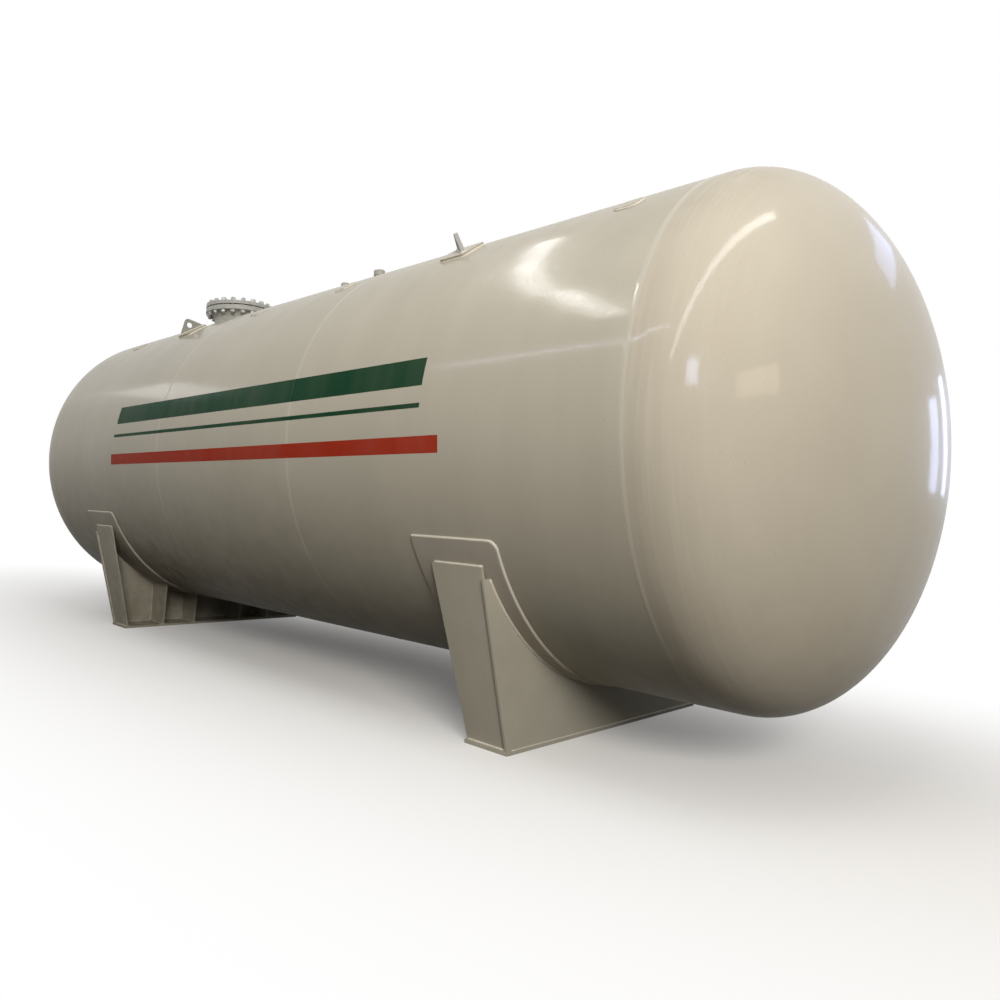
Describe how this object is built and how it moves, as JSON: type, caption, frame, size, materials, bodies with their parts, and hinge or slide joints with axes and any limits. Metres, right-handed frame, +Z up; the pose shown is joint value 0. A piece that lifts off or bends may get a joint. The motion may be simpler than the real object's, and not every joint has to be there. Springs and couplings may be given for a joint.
{
  "type": "horizontal pressure tank",
  "caption": "Horizontal welded steel pressure tank with elliptical heads on two saddles, with a bolted manway, capped nozzles and lifting lugs on top.",
  "frame": {"origin": "on the floor under the middle of the tank, at the bottom centre of its box", "axes": "+X along the tank axis, away from the manway; +Z up; -Y is the side seen in the picture"},
  "size_m": [8.272, 2.834, 3.376],
  "materials": {
    "shell_paint": "glossy warm light grey enamel with light dust",
    "saddle_paint": "the same grey enamel, thinner and more matt",
    "flange_paint": "light neutral grey satin paint over machined steel",
    "stud_steel": "zinc-grey studs and nuts with painted faces",
    "cap_paint": "light neutral grey satin paint",
    "gasket": "dark compressed fibre sheet"
  },
  "bodies": {
    "root": {"girth_welds": "shell_paint", "head_left": "shell_paint", "head_right": "shell_paint", "large_nozzle_cap": "cap_paint", "large_nozzle_pipe": "shell_paint", "lug_far_left": "shell_paint", "lug_far_right": "shell_paint", "lug_near_left": "shell_paint", "lug_near_right": "shell_paint", "manway_cover": "flange_paint", "manway_flange": "flange_paint", "manway_gasket": "gasket", "manway_neck": "shell_paint", "manway_pad": "shell_paint", "manway_studs": "stud_steel", "pad_far_1": "shell_paint", "pad_far_2": "shell_paint", "pad_far_3": "shell_paint", "pad_far_4": "shell_paint", "pad_far_5": "shell_paint", "pad_far_6": "shell_paint", "pad_near_1": "shell_paint", "pad_near_2": "shell_paint", "pad_near_3": "shell_paint", "pad_near_4": "shell_paint", "pad_near_5": "shell_paint", "pad_near_6": "shell_paint", "saddle_left_base": "saddle_paint", "saddle_left_end_far": "saddle_paint", "saddle_left_end_near": "saddle_paint", "saddle_left_ribs": "saddle_paint", "saddle_left_wear_plate": "shell_paint", "saddle_left_web": "saddle_paint", "saddle_right_base": "saddle_paint", "saddle_right_end_far": "saddle_paint", "saddle_right_end_near": "saddle_paint", "saddle_right_ribs": "saddle_paint", "saddle_right_wear_plate": "shell_paint", "saddle_right_web": "saddle_paint", "shell_course_left": "shell_paint", "shell_course_middle": "shell_paint", "shell_course_right": "shell_paint", "small_nozzle_cap": "cap_paint", "small_nozzle_pipe": "shell_paint"}
  },
  "joints": []
}
